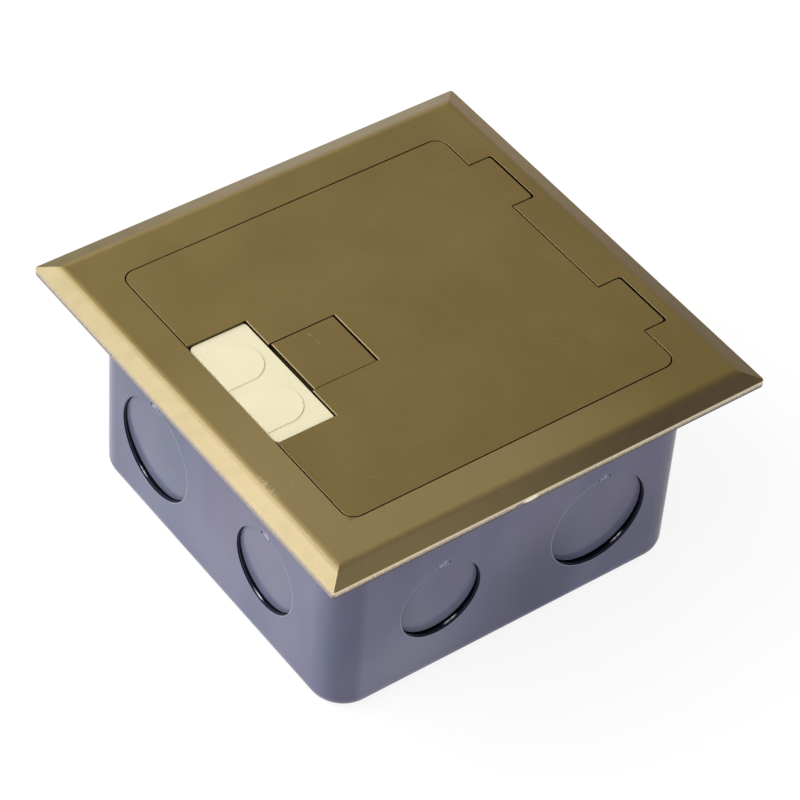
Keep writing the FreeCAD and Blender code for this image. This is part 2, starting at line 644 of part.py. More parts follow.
def outlet_screws():
    """Pan screws from below, through the outlet's flange into the lid."""
    seat = LID_Z - OUTLET_FLANGE
    screws = []
    for x, y in outlet_screw_places():
        head = pan_head(2 * OUTLET_SCREW_R, OUTLET_SCREW_R, -seat, x, -y)
        head.rotate(V(0, 0, 0), X_AXIS, 180)
        shank = post(OUTLET_SCREW_R, seat, LID_Z + OUTLET_SCREW_BITE - THREAD_FIT, x, y)
        screws.append(joined([head, shank]))
    return group(screws)


# ---------------------------------------------------------------- tray
def socket_tray():
    """Moulded tray: flange under the frame, well for the plugs and a window for the module row."""
    flange = slab(FLANGE_SIDE, FLANGE_SIDE, FLANGE_CORNER_R, FLANGE_Z, RIM_Z)
    bottom = TRAY_FLOOR_Z - TRAY_FLOOR
    well = slab(WELL_X + 2 * WELL_WALL, WELL_Y + 2 * WELL_WALL, WELL_R + WELL_WALL, bottom, RIM_Z)
    bosses = [post(FIX_BOSS_R, LUG_Z, RIM_Z, sx * FIX_X, 0) for sx in (-1, 1)]
    right_web = block(WELL_X / 2, FIX_X, -WELL_WALL, WELL_WALL, LUG_Z, RIM_Z)
    boss_webs = [right_web, spun(right_web, 180)]
    body = joined([flange, well] + bosses + boss_webs + gussets() + pin_keepers())
    cavity = slab(WELL_X, WELL_Y, WELL_R, TRAY_FLOOR_Z, RIM_Z + EPS)
    window = slab(MODULE_X + 2 * MODULE_FIT, ROW_Y + 2 * MODULE_FIT, MODULE_EDGE_R, bottom - EPS,
                  TRAY_FLOOR_Z + EPS)
    cuts = [cavity, window]
    for sx in (-1, 1):
        cuts.append(post(FIX_HEAD_R + FIX_HEAD_CLEAR, RIM_Z - FIX_HEAD_SINK, RIM_Z + EPS, sx * FIX_X, 0))
        cuts.append(post(BASE_HOLE_R, LUG_Z - EPS, RIM_Z, sx * FIX_X, 0))
        ear_half = EAR_WIDTH / 2 + LID_GAP
        cuts.append(block(sx * EAR_X - ear_half, sx * EAR_X + ear_half, HINGE_Y - EAR_REACH / 2,
                          EAR_OPENING_END, RIM_Z - EAR_POCKET, RIM_Z + EPS))
    cuts += [corner_screw_hole(x, y) for x, y in corners(CORNER_SCREW, CORNER_SCREW)]
    return without(body, cuts)


def gussets():
    """Triangular ribs between the flange and the well's long walls."""
    wall = WELL_Y / 2 + WELL_WALL / 2
    reach = BOX_SIDE / 2 - BOX_WALL - GUSSET_CLEAR
    ribs = []
    for x in (-GUSSET_X, GUSSET_X):
        sketch = [V(x - GUSSET / 2, wall, FLANGE_Z), V(x - GUSSET / 2, reach, FLANGE_Z),
                  V(x - GUSSET / 2, wall, FLANGE_Z - GUSSET_SLOPE * (reach - wall))]
        rib = prism(sketch, V(GUSSET, 0, 0))
        ribs += [rib, spun(rib, 180)]
    return ribs


def pin_keepers():
    """Ribs on the flange that hold the hinge pins up in the frame's grooves."""
    width = 2 * HINGE_PIN_R - 2 * THREAD_FIT
    ribs = []
    for x0, x1 in pin_spans():
        for a, b in ((x0, x0 + HINGE_PIN_GRIP), (x1 - HINGE_PIN_GRIP, x1)):
            ribs.append(block(a + THREAD_FIT, b - THREAD_FIT, HINGE_Y - width / 2, HINGE_Y + width / 2,
                              FLANGE_Z + EPS, HINGE_Z - HINGE_PIN_R - PIN_SEAT))
    return ribs


def corner_screw_profile(play):
    """Countersunk screw from below the flange: (radius, z) pairs, widened by the play."""
    low = FLANGE_Z
    cone = CORNER_HEAD_R - CORNER_SHANK_R
    shank = CORNER_SHANK_R + play
    return [(0, low), (CORNER_HEAD_R + play, low), (shank, low + cone)], shank


def corner_screw_hole(x, y):
    """Clearance hole and countersink for one frame screw."""
    cone, shank = corner_screw_profile(THREAD_FIT)
    return turned(cone + [(shank, RIM_Z + EPS), (0, RIM_Z + EPS)], x, y)


def frame_screws():
    """Four countersunk screws that hold the tray's flange to the frame."""
    screws = []
    for x, y in corners(CORNER_SCREW, CORNER_SCREW):
        cone, shank = corner_screw_profile(0.0)
        screw = turned(cone + [(shank, RIM_Z + CORNER_DEPTH), (0, RIM_Z + CORNER_DEPTH)], x, y)
        screws.append(without(screw, cross_recess(CORNER_HEAD_R, x, y, FLANGE_Z - EPS, FLANGE_Z + EPS)))
    return group(screws)


def fixing_screws():
    """Two machine screws that pull the tray down onto the box's lugs."""
    seat = RIM_Z - FIX_HEAD_SINK
    screws = []
    for sx in (-1, 1):
        head = pan_head(FIX_HEAD_R, FIX_HEAD_H, seat, sx * FIX_X, 0)
        screws.append(joined([head, post(FIX_SHANK_R, seat - FIX_LENGTH, seat, sx * FIX_X, 0)]))
    return group(screws)


def lid_seal():
    """Rubber ring on the tray's ledge, under the edge of the lid."""
    outside = LID_SIDE - 2 * SEAL_INSET
    inside = outside - 2 * SEAL_WIDTH
    corner = LID_CORNER_R - SEAL_INSET
    ring = slab(outside, outside, corner, RIM_Z, LID_Z - SEAL_GAP)
    return without(ring, [slab(inside, inside, corner - SEAL_WIDTH, RIM_Z - EPS, LID_Z + EPS)])


# ---------------------------------------------------------------- power module
def pin_slots(z0, z1, play=0.0, two_pin_dx=0.0, three_pin_dy=0.0):
    """Cutters for the flat pins: the two-pin pair, then the slanted pair, then the earth pin."""
    width, length = PIN_SLOT + 2 * play, PIN_SLOT_LENGTH + 2 * play
    pair = [slab(width, length, PIN_SLOT_R, z0, z1, sx * TWO_PIN_X + two_pin_dx, POWER_C + TWO_PIN_Y)
            for sx in (-1, 1)]
    slanted = []
    for sx in (-1, 1):
        x, y = sx * LN_PIN_X, POWER_C + LN_PIN_Y + three_pin_dy
        slanted.append(spun(slab(width, length, PIN_SLOT_R, z0, z1, x, y), sx * LN_PIN_ANGLE, x, y))
    earth = [slab(width, length, PIN_SLOT_R, z0, z1, 0, POWER_C + EARTH_PIN_Y)]
    return pair, slanted, earth


def module_housing(depth_y, centre_y, low):
    """Open-bottomed module housing with a face plate, two snap wedges and a hollow inside."""
    face = slab(MODULE_LIP, depth_y, MODULE_LIP_R, TRAY_FLOOR_Z, MODULE_TOP, 0, centre_y)
    face = face.makeFillet(MODULE_EDGE_R, edges_at(face, MODULE_TOP))
    body = slab(MODULE_X, depth_y, MODULE_CORNER_R, low, TRAY_FLOOR_Z, 0, centre_y)
    hollow = slab(MODULE_X - 2 * MODULE_WALL, depth_y - 2 * MODULE_WALL, MODULE_INNER_R, low - EPS,
                  TRAY_FLOOR_Z, 0, centre_y)
    side, top, front = MODULE_X / 2, TRAY_FLOOR_Z - TRAY_FLOOR, centre_y - SNAP_LENGTH / 2
    wedge = prism([V(side, front, top), V(side + SNAP_RISE, front, top),
                   V(side, front, top - SNAP_SLOPE * SNAP_RISE)], V(0, SNAP_LENGTH, 0))
    return without(joined([face, body, wedge, spun(wedge, 180, 0, centre_y)]), [hollow])


def power_front():
    """Face of the power module: pin slots, corner posts for the deck and stops for the two springs."""
    housing = module_housing(POWER_Y, POWER_C, SPLIT_Z)
    pair, slanted, earth = pin_slots(TRAY_FLOOR_Z - EPS, MODULE_TOP + EPS)
    deck_top = SHUTTER_Z - SHUTTER_GAP
    inner_x, inner_y = MODULE_X / 2 - MODULE_WALL, POWER_Y / 2 - MODULE_WALL
    posts = []
    for x, y in corners(inner_x - DECK_POST / 2, inner_y - DECK_POST / 2):
        posts.append(slab(DECK_POST, DECK_POST, MODULE_INNER_R, deck_top, TRAY_FLOOR_Z, x, POWER_C + y))
    stops = [spring_stop(*place) for place in (two_pin_spring_line(), three_pin_spring_line())]
    return without(joined([housing] + posts + stops), pair + slanted + earth)


def two_pin_spring_line():
    """Start and end of the two-pin shutter's spring, from its stop to the shutter."""
    y = POWER_C + TWO_PIN_Y
    end = -TWO_PIN_X - PIN_SLOT - SHUTTER_LAND
    return V(end - SPRING_SPACE, y, 0), V(end, y, 0)


def three_pin_spring_line():
    """Start and end of the three-pin shutter's spring, from its stop to the shutter's arm."""
    x = LN_PIN_X + ARM_REACH
    end = POWER_C + three_pin_edges()[1] - ARM_WIDTH
    return V(x, end - SPRING_SPACE - THREE_PIN_TRAVEL, 0), V(x, end, 0)


def spring_stop(start, end):
    """Rib under the face plate behind a shutter spring."""
    along = (end - start).normalize()
    half = SPRING_R + 2 * SPRING_WIRE_R
    across = V(abs(along.y), abs(along.x), 0) * half
    back = start - along * STOP_THICK
    low, high = SHUTTER_Z - SHUTTER_GAP / 2, TRAY_FLOOR_Z
    xs = sorted((back.x, start.x))
    ys = sorted((back.y, start.y))
    return block(xs[0] - across.x, xs[1] + across.x, ys[0] - across.y, ys[1] + across.y, low, high)


def shutter_deck():
    """Inner plate that the shutters slide on, open below every pin slot."""
    top = SHUTTER_Z - SHUTTER_GAP
    inset = 2 * (MODULE_WALL + DECK_PLAY)
    plate = slab(MODULE_X - inset, POWER_Y - inset, MODULE_INNER_R, top - SHUTTER, top, 0, POWER_C)
    pair, slanted, earth = pin_slots(top - SHUTTER - EPS, top + EPS, DECK_PLAY)
    return without(plate, pair + slanted + earth)


def two_pin_shutter():
    """Slide that blanks the two-pin slots until both pins push it aside."""
    end = two_pin_spring_line()[1]
    right = TWO_PIN_X + TWO_PIN_TRAVEL + PIN_SLOT / 2 + SHUTTER_LAND
    half = PIN_SLOT_LENGTH / 2 + SHUTTER_LAND
    plate = block(end.x, right, end.y - half, end.y + half, SHUTTER_Z, SHUTTER_TOP)
    pair = pin_slots(SHUTTER_Z - EPS, SHUTTER_TOP + EPS, 0.0, two_pin_dx=TWO_PIN_TRAVEL)[0]
    return without(plate, pair)


def three_pin_edges():
    """Front and back edge of the three-pin shutter, from the module's middle."""
    lean = math.radians(LN_PIN_ANGLE)
    half = PIN_SLOT_LENGTH / 2 * math.cos(lean) + PIN_SLOT / 2 * math.sin(lean)
    return LN_PIN_Y - half - SHUTTER_FRONT, LN_PIN_Y + THREE_PIN_TRAVEL + half + SHUTTER_BACK


def three_pin_shutter():
    """Slide that blanks the slanted slots, with a side arm for its spring and a gap for the earth pin."""
    front, back = three_pin_edges()
    half = LN_PIN_X + PIN_SLOT_LENGTH / 2 * math.sin(math.radians(LN_PIN_ANGLE)) + PIN_SLOT / 2 + SHUTTER_SIDE
    plate = block(-half, half, POWER_C + front, POWER_C + back, SHUTTER_Z, SHUTTER_TOP)
    reach = LN_PIN_X + ARM_REACH + SPRING_R
    arm = block(half - EPS, reach, POWER_C + back - ARM_WIDTH, POWER_C + back, SHUTTER_Z, SHUTTER_TOP)
    gap = PIN_SLOT / 2 + EARTH_SIDE
    notch = block(-gap, gap, POWER_C + EARTH_PIN_Y - PIN_SLOT_LENGTH / 2 - EARTH_FRONT, POWER_C + back + EPS,
                  SHUTTER_Z - EPS, SHUTTER_TOP + EPS)
    slanted = pin_slots(SHUTTER_Z - EPS, SHUTTER_TOP + EPS, 0.0, three_pin_dy=THREE_PIN_TRAVEL)[1]
    return without(joined([plate, arm]), slanted + [notch])


def coil_spring(start, end):
    """Compression spring of round wire between two points at the shutters' mid-height."""
    length = start.distanceToPoint(end) - 2 * SPRING_WIRE_R - 2 * PIN_SEAT
    helix = Part.makeHelix(length / SPRING_TURNS, length, SPRING_R)
    section = Part.Wire(Part.makeCircle(SPRING_WIRE_R, V(SPRING_R, 0, 0), Y_AXIS))
    spring = Part.Wire(helix).makePipeShell([section], True, True)
    spring.translate(V(0, 0, SPRING_WIRE_R + PIN_SEAT))
    along = end - start
    spring.Placement = FreeCAD.Placement(V(start.x, start.y, (SHUTTER_Z + SHUTTER_TOP) / 2),
                                         FreeCAD.Rotation(Z_AXIS, along)).multiply(spring.Placement)
    return spring


def two_pin_spring():
    return coil_spring(*two_pin_spring_line())


def three_pin_spring():
    return coil_spring(*three_pin_spring_line())


def pin_clip(x, y, degrees=0.0):
    """U-shaped spring clip that grips one flat pin."""
    low = STRIP_Z + STRIP
    half = CLIP_GAP / 2 + CLIP_LEAF
    body = block(x - half, x + half, y - CLIP_WIDTH / 2, y + CLIP_WIDTH / 2, low, low + CLIP_LENGTH)
    gap = block(x - CLIP_GAP / 2, x + CLIP_GAP / 2, y - CLIP_WIDTH, y + CLIP_WIDTH, low + CLIP_LEAF,
                low + CLIP_LENGTH + EPS)
    return spun(without(body, [gap]), degrees, x, y)


def terminal(x, y, along_x):
    """Brass terminal block with a wire hole and a threaded hole from below."""
    low = STRIP_Z - TERMINAL_Z
    body = block(x - TERMINAL_X / 2, x + TERMINAL_X / 2, y - TERMINAL_Y / 2, y + TERMINAL_Y / 2, low, STRIP_Z)
    mid = low + WIRE_HEIGHT
    reach = TERMINAL_X / 2 + EPS
    start = V(x - reach, y, mid) if along_x else V(x, y - reach, mid)
    wire = Part.makeCylinder(WIRE_HOLE_R, 2 * reach, start, X_AXIS if along_x else Y_AXIS)
    thread = post(TERMINAL_SCREW_R + THREAD_FIT, low - EPS, mid, x, y)
    return without(body, [wire, thread])


def strip(x0, x1, y0, y1):
    """Flat stretch of contact strip."""
    return block(x0, x1, y0, y1, STRIP_Z, STRIP_Z + STRIP)


def side_contact(sx):
    """Live or neutral contact: clips for both sockets on one strip that runs out to a terminal."""
    x_in, x_out = LN_PIN_X - STRIP_WIDTH, LN_PIN_X + STRIP_OUTSIDE
    xs = sorted((sx * x_in, sx * x_out))
    arm = sorted((sx * x_in, sx * (TERMINAL_OFFSET + TERMINAL_X / 2)))
    y = POWER_C
    pieces = [strip(xs[0], xs[1], y + LN_PIN_Y - CLIP_WIDTH / 2, y + TWO_PIN_Y + CLIP_WIDTH / 2),
              strip(arm[0], arm[1], y - STRIP_WIDTH / 2, y + STRIP_WIDTH / 2),
              pin_clip(sx * TWO_PIN_X, y + TWO_PIN_Y),
              pin_clip(sx * LN_PIN_X, y + LN_PIN_Y, sx * LN_PIN_ANGLE),
              terminal(sx * TERMINAL_OFFSET, y, True)]
    return joined(pieces)


def live_contact():
    return side_contact(1)


def neutral_contact():
    return side_contact(-1)


def earth_contact():
    """Earth contact: one clip, a strip and a terminal at the front of the module."""
    y = POWER_C + EARTH_PIN_Y
    end = POWER_C - EARTH_TERMINAL
    pieces = [strip(-STRIP_WIDTH / 2, STRIP_WIDTH / 2, end - TERMINAL_Y / 2, y + CLIP_WIDTH / 2),
              pin_clip(0, y), terminal(0, end, False)]
    return joined(pieces)


def terminal_places():
    """Middle of each terminal block."""
    return [(TERMINAL_OFFSET, POWER_C), (-TERMINAL_OFFSET, POWER_C), (0, POWER_C - EARTH_TERMINAL)]


def terminal_screws():
    """Three clamping screws, driven from the module's underside."""
    top = WIRE_Z - WIRE_HOLE_R
    screws = []
    for x, y in terminal_places():
        head = post(SCREW_HEAD_R, MODULE_BASE + SCREW_SINK, MODULE_BASE + MODULE_WALL, x, y)
        shank = post(TERMINAL_SCREW_R, MODULE_BASE + MODULE_WALL, top, x, y)
        slot = block(x - SCREW_HEAD_R, x + SCREW_HEAD_R, y - SCREW_SLOT / 2, y + SCREW_SLOT / 2, MODULE_BASE,
                     MODULE_BASE + SCREW_SLOT_DEPTH)
        screws.append(without(joined([head, shank]), [slot]))
    return group(screws)


def power_back():
    """Rear shell of the power module, with ledges under the strips and terminals and wire entries."""
    shell = slab(MODULE_X, POWER_Y, MODULE_CORNER_R, MODULE_BASE, SPLIT_Z, 0, POWER_C)
    hollow = slab(MODULE_X - 2 * MODULE_WALL, POWER_Y - 2 * MODULE_WALL, MODULE_INNER_R,
                  MODULE_BASE + MODULE_WALL, SPLIT_Z + EPS, 0, POWER_C)
    ledges = []
    for x, y in terminal_places():
        ledges.append(block(x - TERMINAL_X / 2, x + TERMINAL_X / 2, y - TERMINAL_Y / 2, y + TERMINAL_Y / 2,
                            MODULE_BASE + EPS, STRIP_Z - TERMINAL_Z))
    for x, y in corners(LN_PIN_X, -LN_PIN_Y) + [(0, EARTH_PIN_Y)]:
        ledges.append(block(x - LEDGE_HALF, x + LEDGE_HALF, POWER_C + y - LEDGE_HALF,
                            POWER_C + y + LEDGE_HALF, MODULE_BASE + EPS, STRIP_Z))
    half = MODULE_X / 2
    entries = [bar_x(WIRE_HOLE_R, -half - EPS, -half + MODULE_WALL + EPS, POWER_C, WIRE_Z),
               bar_x(WIRE_HOLE_R, half - MODULE_WALL - EPS, half + EPS, POWER_C, WIRE_Z),
               Part.makeCylinder(WIRE_HOLE_R, MODULE_WALL + 2 * EPS,
                                 V(0, POWER_C - POWER_Y / 2 - EPS, WIRE_Z), Y_AXIS)]
    access = [post(SCREW_HEAD_R + ACCESS_CLEAR, MODULE_BASE - EPS, STRIP_Z - TERMINAL_Z + EPS, x, y)
              for x, y in terminal_places()]
    return without(joined([without(shell, [hollow])] + ledges), entries + access)


# ---------------------------------------------------------------- data module
def data_front():
    """Housing of the data module, open for its jack."""
    housing = module_housing(DATA_Y, DATA_C, SPLIT_Z)
    x, y0, y1 = jack_reach(MODULE_GAP)
    return without(housing, [block(-x, x, y0, y1, SPLIT_Z - EPS, MODULE_TOP + EPS)])


def jack_reach(play):
    """Half width and the two faces in Y of the jack's body, widened by the play."""
    half_y = PORT_Y / 2 + JACK_WALL
    return PORT_X / 2 + JACK_WALL + play, DATA_C - half_y - LATCH_Y - play, DATA_C + half_y + play


def data_jack():
    """Eight-way jack body: port, latch channel and two ears that hang it from the housing."""
    x, y0, y1 = jack_reach(0.0)
    low = MODULE_TOP - PORT_DEPTH - JACK_FLOOR
    body = block(-x, x, y0, y1, low, MODULE_TOP)
    ears = block(-x - JACK_WALL, x + JACK_WALL, DATA_C - JACK_WALL, DATA_C + JACK_WALL,
                 TRAY_FLOOR_Z - JACK_WALL, TRAY_FLOOR_Z)
    port = block(-PORT_X / 2, PORT_X / 2, DATA_C - PORT_Y / 2, DATA_C + PORT_Y / 2, MODULE_TOP - PORT_DEPTH,
                 MODULE_TOP + EPS)
    latch = block(-LATCH_X / 2, LATCH_X / 2, DATA_C - PORT_Y / 2 - LATCH_Y, DATA_C, MODULE_TOP - LATCH_DEPTH,
                  MODULE_TOP + EPS)
    return without(joined([body, ears]), [port, latch])


def jack_contacts():
    """Eight sprung wires that lean out from the floor of the port."""
    low, high = MODULE_TOP - PORT_DEPTH, MODULE_TOP - JACK_WIRE_TOP
    back = DATA_C + PORT_Y / 2 - JACK_WIRE_OFF
    tip, bend = back - JACK_WIRE_LEAN, high - JACK_WIRE_RISE
    sketch = [(back, low), (back, bend), (tip, high), (tip, high - JACK_WIRE),
              (back - JACK_WIRE, bend - JACK_WIRE), (back - JACK_WIRE, low)]
    wires = []
    for n in range(JACK_WIRES):
        x = (n - (JACK_WIRES - 1) / 2) * JACK_WIRE_PITCH - JACK_WIRE / 2
        wires.append(prism([V(x, y, z) for y, z in sketch], V(JACK_WIRE, 0, 0)))
    return group(wires)


def idc_block():
    """Insulation-displacement block under the jack, with four slots along each side."""
    top = MODULE_TOP - PORT_DEPTH - JACK_FLOOR
    body = block(-IDC_X / 2, IDC_X / 2, DATA_C - IDC_Y / 2, DATA_C + IDC_Y / 2, top - IDC_Z, top)
    slots = []
    for n in range(IDC_SLOTS):
        x = (n - (IDC_SLOTS - 1) / 2) * IDC_X / IDC_SLOTS
        for side in (-1, 1):
            edge = DATA_C + side * IDC_Y / 2
            ys = sorted((edge - side * IDC_SLOT_LENGTH, edge + side * EPS))
            slots.append(block(x - IDC_SLOT / 2, x + IDC_SLOT / 2, ys[0], ys[1], top - IDC_Z - EPS,
                               top - IDC_ROOF))
    return without(body, slots)


PARTS = {
    "back_box": back_box,
    "fixing_lugs": fixing_lugs,
    "earth_screw": earth_screw,
    "floor_frame": floor_frame,
    "floor_gasket": floor_gasket,
    "hinge_pins": hinge_pins,
    "lid": lid,
    "lift_tab": lift_tab,
    "tab_pin": tab_pin,
    "cable_outlet": cable_outlet,
    "outlet_screws": outlet_screws,
    "socket_tray": socket_tray,
    "frame_screws": frame_screws,
    "fixing_screws": fixing_screws,
    "lid_seal": lid_seal,
    "power_front": power_front,
    "shutter_deck": shutter_deck,
    "two_pin_shutter": two_pin_shutter,
    "three_pin_shutter": three_pin_shutter,
    "two_pin_spring": two_pin_spring,
    "three_pin_spring": three_pin_spring,
    "live_contact": live_contact,
    "neutral_contact": neutral_contact,
    "earth_contact": earth_contact,
    "terminal_screws": terminal_screws,
    "power_back": power_back,
    "data_front": data_front,
    "data_jack": data_jack,
    "jack_contacts": jack_contacts,
    "idc_block": idc_block,
}


def main():
    os.makedirs("parts", exist_ok=True)
    for name, make in PARTS.items():
        shape = make()
        shape.exportStep("parts/" + name + ".step")
        print(name, len(shape.Solids), round(shape.Volume, 1), "valid" if shape.isValid() else "INVALID")


main()
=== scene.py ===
"""Floor socket box: studio scene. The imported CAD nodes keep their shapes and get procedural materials."""
import bpy
import json
import math
from mathutils import Matrix, Vector


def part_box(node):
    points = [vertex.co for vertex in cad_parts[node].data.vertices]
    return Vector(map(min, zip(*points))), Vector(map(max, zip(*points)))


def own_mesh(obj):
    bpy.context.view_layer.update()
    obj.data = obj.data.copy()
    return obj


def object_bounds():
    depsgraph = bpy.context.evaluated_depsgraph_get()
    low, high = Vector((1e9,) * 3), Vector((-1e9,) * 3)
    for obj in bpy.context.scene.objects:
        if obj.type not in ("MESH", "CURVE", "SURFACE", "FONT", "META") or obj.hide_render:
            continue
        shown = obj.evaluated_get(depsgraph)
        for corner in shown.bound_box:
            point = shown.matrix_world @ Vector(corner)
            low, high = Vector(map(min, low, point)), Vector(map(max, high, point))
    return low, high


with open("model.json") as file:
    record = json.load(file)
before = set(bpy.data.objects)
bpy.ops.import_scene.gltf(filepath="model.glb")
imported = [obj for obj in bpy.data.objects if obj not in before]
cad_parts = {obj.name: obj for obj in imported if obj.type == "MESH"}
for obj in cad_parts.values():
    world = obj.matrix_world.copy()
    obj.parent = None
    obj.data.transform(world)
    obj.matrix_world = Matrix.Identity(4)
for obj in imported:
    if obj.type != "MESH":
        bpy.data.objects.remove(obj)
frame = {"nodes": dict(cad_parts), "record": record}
cad_low, cad_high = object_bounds()
nodes = frame["nodes"]

# Places taken from the frame. All lengths are in metres and all angles in degrees.
TOP = cad_high.z                                      # upper face of the lid and the frame
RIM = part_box("floor_frame")[1].x                      # half a side of the frame
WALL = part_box("back_box")[1].x                        # half a side of the box
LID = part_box("lid")[1].x                              # half a side of the lid
TAB_LOW, TAB_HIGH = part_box("lift_tab")


# ---------------------------------------------------------------- node helpers
class Graph:
    """A node tree with short calls for the nodes used here."""

    def __init__(self, tree):
        self.tree = tree
        self.texture = tree.nodes.new("ShaderNodeTexCoord").outputs

    def node(self, kind, **inputs):
        n = self.tree.nodes.new(kind)
        for key, value in inputs.items():
            self.feed(n.inputs[key.replace("_", " ")], value)
        return n

    def feed(self, socket, value):
        if isinstance(value, bpy.types.NodeSocket):
            self.tree.links.new(value, socket)
        else:
            socket.default_value = value

    def math(self, operation, a, b=0.0):
        n = self.node("ShaderNodeMath")
        n.operation = operation
        self.feed(n.inputs[0], a)
        self.feed(n.inputs[1], b)
        return n.outputs[0]

    def absolute(self, value):
        return self.math("ABSOLUTE", value)

    def inverse(self, mask):
        return self.math("SUBTRACT", 1.0, mask)

    def product(self, *factors):
        result = factors[0]
        for factor in factors[1:]:
            result = self.math("MULTIPLY", result, factor)
        return result

    def most(self, *values):
        result = values[0]
        for value in values[1:]:
            result = self.math("MAXIMUM", result, value)
        return result

    def span(self, value, low, high, to_low=0.0, to_high=1.0):
        """Smooth step from to_low at low to to_high at high."""
        n = self.node("ShaderNodeMapRange", Value=value)
        n.clamp = True
        n.interpolation_type = "SMOOTHSTEP"
        for key, number in (("From Min", low), ("From Max", high), ("To Min", to_low), ("To Max", to_high)):
            n.inputs[key].default_value = number
        return n.outputs["Result"]

    def above(self, value, level, soft):
        return self.span(value, level - soft, level + soft)

    def below(self, value, level, soft):
        return self.span(value, level - soft, level + soft, 1.0, 0.0)

    def mix(self, factor, a, b):
        n = self.node("ShaderNodeMix")
        for socket, value in zip((n.inputs[0], n.inputs[2], n.inputs[3]), (factor, a, b)):
            self.feed(socket, value)
        return n.outputs[0]

    def blend(self, factor, a, b):
        """Mix of two colours."""
        n = self.node("ShaderNodeMix")
        n.data_type = "RGBA"
        for socket, value in zip((n.inputs[0], n.inputs[6], n.inputs[7]), (factor, a, b)):
            self.feed(socket, value)
        return n.outputs[2]

    def split(self, vector):
        return self.node("ShaderNodeSeparateXYZ", Vector=vector).outputs


class Shader(Graph):
    """A material. Its coordinates and normal are the part's own, so they turn with a moving part."""

    def __init__(self, name):
        self.material = bpy.data.materials.new(name)
        self.material.use_nodes = True
        super().__init__(self.material.node_tree)
        self.bsdf = self.tree.nodes["Principled BSDF"]
        self.coord = self.texture["Object"]

    def place_and_normal(self):
        return self.split(self.coord), self.split(self.texture["Normal"])

    def noise(self, scale, detail=3.0, roughness=0.5):
        """Noise at one scale, or at three along X, Y and Z."""
        vector = self.coord
        if isinstance(scale, tuple):
            vector = self.node("ShaderNodeMapping", Vector=vector, Scale=scale).outputs["Vector"]
            scale = 1.0
        n = self.node("ShaderNodeTexNoise", Vector=vector, Scale=scale, Detail=detail, Roughness=roughness)
        return n.outputs["Fac"]

    def local(self, centre, radii, angle=0.0):
        """Vector from a place, turned about Z and in units of the radii, and its length."""
        n = self.node("ShaderNodeMapping")
        n.vector_type = "TEXTURE"
        turn = (0.0, 0.0, math.radians(angle))
        for key, value in zip(("Vector", "Location", "Rotation", "Scale"), (self.coord, centre, turn, radii)):
            self.feed(n.inputs[key], value)
        length = self.node("ShaderNodeVectorMath")
        length.operation = "LENGTH"
        self.feed(length.inputs[0], n.outputs["Vector"])
        return n.outputs["Vector"], length.outputs["Value"]

    def spot(self, centre, radii, angle=0.0, core=0.55):
        """Mask of an ellipsoid turned about Z: 1 out to the core's share of the radii, 0 outside."""
        return self.span(self.local(centre, radii, angle)[1], core, 1.0, 1.0, 0.0)

    def within(self, low, high, soft=0.0001):
        """Mask of an upright box between two corners."""
        place = self.split(self.coord)
        sides = []
        for axis, start, end in zip("XYZ", low, high):
            sides.append(self.above(place[axis], start, soft))
            sides.append(self.below(place[axis], end, soft))
        return self.product(*sides)

    def edge(self, radius):
        """Mask of sharp edges, where the rounded normal leaves the true one, and the rounded normal."""
        soft = self.node("ShaderNodeBevel", Radius=radius)
        soft.samples = 6
        true = self.node("ShaderNodeNewGeometry").outputs["Normal"]
        dot = self.node("ShaderNodeVectorMath")
        dot.operation = "DOT_PRODUCT"
        self.feed(dot.inputs[0], soft.outputs[0])
        self.feed(dot.inputs[1], true)
        return self.span(dot.outputs["Value"], 0.995, 0.90), soft.outputs[0]

    def bump(self, height, distance, normal):
        n = self.node("ShaderNodeBump", Height=height, Distance=distance, Strength=1.0, Normal=normal)
        self.feed(self.bsdf.inputs["Normal"], n.outputs["Normal"])

    def set(self, **inputs):
        for key, value in inputs.items():
            self.feed(self.bsdf.inputs[key.replace("_", " ")], value)


def rgb(r, g, b):
    return (r, g, b, 1.0)


# ---------------------------------------------------------------- brass
FRAME_FLAT = LID + 0.00015                            # the frame's flat starts here, outside the lid
BEVEL_LIGHT_TONES = (                 # painted light and reflection: facing axis and side, axis along the bevel, tones and places of its two ends
    ("X", 1, "Y", (0.83, 0.66, 0.35), (0.350, 0.270, 0.150), -0.045, 0.036),
    ("X", -1, "Y", (0.225, 0.170, 0.062), (0.385, 0.308, 0.192), -0.060, 0.030),
    ("Y", 1, "X", (0.58, 0.44, 0.27), (0.400, 0.305, 0.185), -0.050, 0.040),
    ("Y", -1, "X", (0.320, 0.265, 0.150), (0.395, 0.320, 0.185), -0.050, 0.055))
RIM_SPLIT = TOP - 0.0024                              # greyer below, paler above
RIM_LINE = (TOP - 0.0029, TOP - 0.0022)               # dotted saw line between these heights
RIM_FOOT_SHADE = TOP - 0.00295                              # dark below: painted shade, the shadow line under the rim
RIM_MARKS = (                   # centre, radii, tone: a pale chip and the bruise beside it
    ((RIM, -0.0070, TOP - 0.0024), (0.0006, 0.0026, 0.0009), (0.86, 0.80, 0.66)),
    ((RIM, -0.0102, TOP - 0.0027), (0.0006, 0.0013, 0.0007), (0.16, 0.16, 0.22)))
SCRATCHES = (                   # x, y, length, width, angle, strength
    (-0.0063, -0.0200, 0.0020, 0.00026, 4.0, 0.80),
    (-0.0036, -0.0198, 0.0030, 0.00016, 3.0, 0.45),
    (0.0022, -0.0201, 0.0010, 0.00016, 20.0, 0.30),
    (0.0252, 0.0270, 0.0012, 0.00022, 60.0, 0.45),
    (0.0287, 0.0346, 0.0042, 0.00014, 78.0, 0.30),
    (0.0377, -0.0340, 0.0026, 0.00016, 50.0, 0.45),
    (0.0293, -0.0493, 0.0005, 0.00040, 0.0, 0.50))
SCRATCH_DEPTH = 0.001
